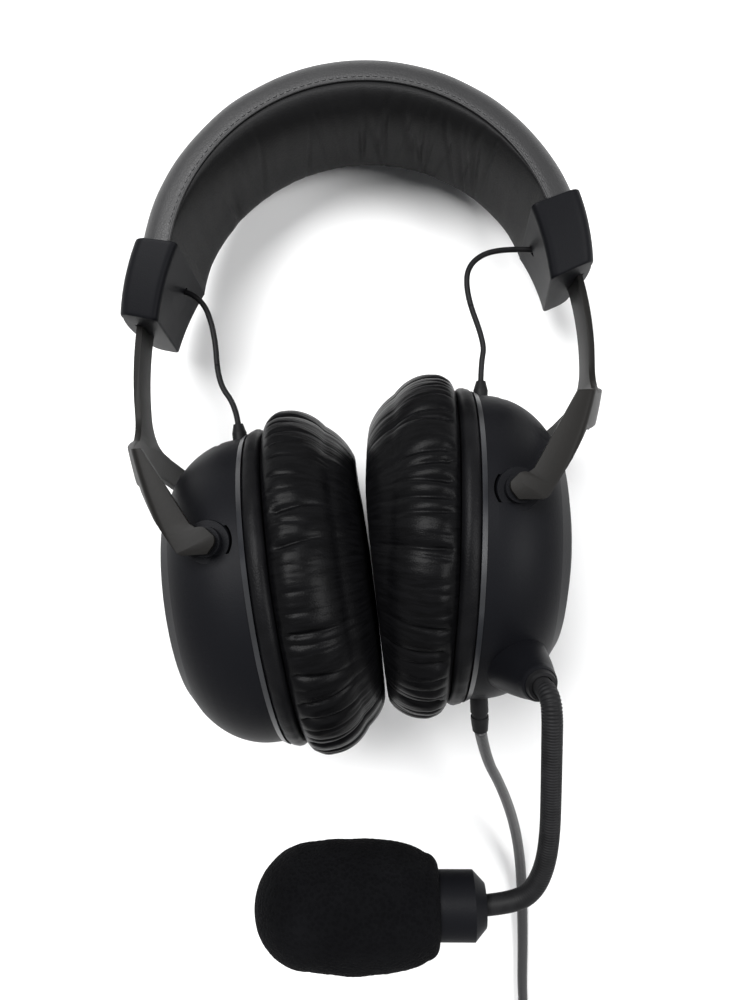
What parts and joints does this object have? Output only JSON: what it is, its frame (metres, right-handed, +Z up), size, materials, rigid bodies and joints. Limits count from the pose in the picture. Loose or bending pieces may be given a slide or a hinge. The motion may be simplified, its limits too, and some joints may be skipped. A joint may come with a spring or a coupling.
{
  "type": "aviation headset",
  "caption": "Over-ear headset with a padded band, two fork-hung ear cups on sliding strips, a gooseneck boom microphone and a cord that ends in two plugs.",
  "frame": {"origin": "middle of the bounding box's underside, without the cord", "axes": "+Z up from the floor that the headset lies on, +Y toward the crown of the band, +X toward the microphone's ear cup"},
  "size_m": [0.1554, 0.5168, 0.1186],
  "materials": {
    "satin_black_shell": "satin, very fine texture",
    "black_soft_cover": "soft, fine grain",
    "black_band_pad": "soft, light creases",
    "ear_pad_cover": "glossy, creased",
    "clear_liner": "plain",
    "spring_steel": "bare",
    "bare_steel": "bright",
    "black_steel": "semi-matt powder coat",
    "black_pin": "satin",
    "ring_plastic": "semi-gloss",
    "black_rubber": "matt",
    "grey_cloth": "thin knit",
    "open_foam": "open cell foam",
    "mic_foam": "fine open foam",
    "driver_frame": "plain",
    "driver_film": "thin film",
    "vent_cloth": "fine mesh",
    "boom_cover": "matt, ribbed",
    "cord_jacket": "satin",
    "plug_grip_plastic": "satin",
    "plug_metal": "bright"
  },
  "bodies": {
    "headband": {"headband_cover": "black_soft_cover", "headband_pad": "black_band_pad", "headband_liner": "clear_liner", "headband_spring": "spring_steel", "band_rivets": "bare_steel", "detent_springs": "spring_steel", "left_cap_outer": "satin_black_shell", "left_cap_inner": "satin_black_shell", "right_cap_outer": "satin_black_shell", "right_cap_inner": "satin_black_shell", "left_link_lead": "cord_jacket", "right_link_lead": "cord_jacket", "cord_coil": "cord_jacket", "cord_splitter": "plug_grip_plastic", "phones_leg": "cord_jacket", "mic_leg": "cord_jacket", "phones_plug_grip": "plug_grip_plastic", "phones_plug_shaft": "plug_metal", "mic_plug_grip": "plug_grip_plastic", "mic_plug_shaft": "plug_metal", "cord": "cord_jacket"},
    "left_slider": {"left_fork": "black_steel", "left_strip_stop": "bare_steel", "left_pivot_pins": "black_pin"},
    "right_slider": {"right_fork": "black_steel", "right_strip_stop": "bare_steel", "right_pivot_pins": "black_pin"},
    "left_cup": {"left_pad": "ear_pad_cover", "left_shell": "satin_black_shell", "left_outer_plate": "satin_black_shell", "left_baffle": "driver_frame", "left_pad_ring": "ring_plastic", "left_ear_cloth": "grey_cloth", "left_damping_foam": "open_foam", "left_driver_basket": "driver_frame", "left_driver_cone": "driver_film", "left_vent_mesh": "vent_cloth", "left_cable_boot": "black_rubber", "left_pivot_keepers": "satin_black_shell", "left_cup_screws": "bare_steel"},
    "right_cup": {"right_pad": "ear_pad_cover", "right_shell": "satin_black_shell", "right_outer_plate": "satin_black_shell", "right_baffle": "driver_frame", "right_pad_ring": "ring_plastic", "right_ear_cloth": "grey_cloth", "right_damping_foam": "open_foam", "right_driver_basket": "driver_frame", "right_driver_cone": "driver_film", "right_vent_mesh": "vent_cloth", "right_cable_boot": "black_rubber", "right_pivot_keepers": "satin_black_shell", "right_cup_screws": "bare_steel", "boom_socket": "satin_black_shell", "strain_relief": "black_rubber"},
    "boom": {"boom_ferrule": "black_rubber", "gooseneck": "boom_cover", "mic_collar": "satin_black_shell", "mic_capsule": "driver_frame", "mic_muff": "mic_foam"}
  },
  "joints": [
    {"name": "left_slide", "type": "hinge", "parent": "headband", "child": "left_slider", "pos_m": [0.06338, 0.02596, 0.04419], "axis": [0, 0.1856, 0.9826], "range_deg": [-9.09, 0], "deforming": ["left_link_lead"]},
    {"name": "right_slide", "type": "hinge", "parent": "headband", "child": "right_slider", "pos_m": [-0.03244, 0.04014, 0.04151], "axis": [0, 0.1856, 0.9826], "range_deg": [0, 11.78], "deforming": ["right_link_lead", "cord"]},
    {"name": "left_cup_tilt", "type": "hinge", "parent": "left_slider", "child": "left_cup", "pos_m": [-0.0486, -0.01939, 0.05276], "axis": [0, 0.1856, 0.9826], "range_deg": [-10, 0], "deforming": ["left_link_lead"]},
    {"name": "right_cup_tilt", "type": "hinge", "parent": "right_slider", "child": "right_cup", "pos_m": [0.03767, -0.01448, 0.05183], "axis": [0, 0.1856, 0.9826], "range_deg": [0, 10], "deforming": ["right_link_lead", "cord"]},
    {"name": "boom_swivel", "type": "hinge", "parent": "right_cup", "child": "boom", "pos_m": [0.0362, -0.05772, 0.10528], "axis": [0.1437, -0.0268, 0.9893], "range_deg": [-15, 60]}
  ]
}
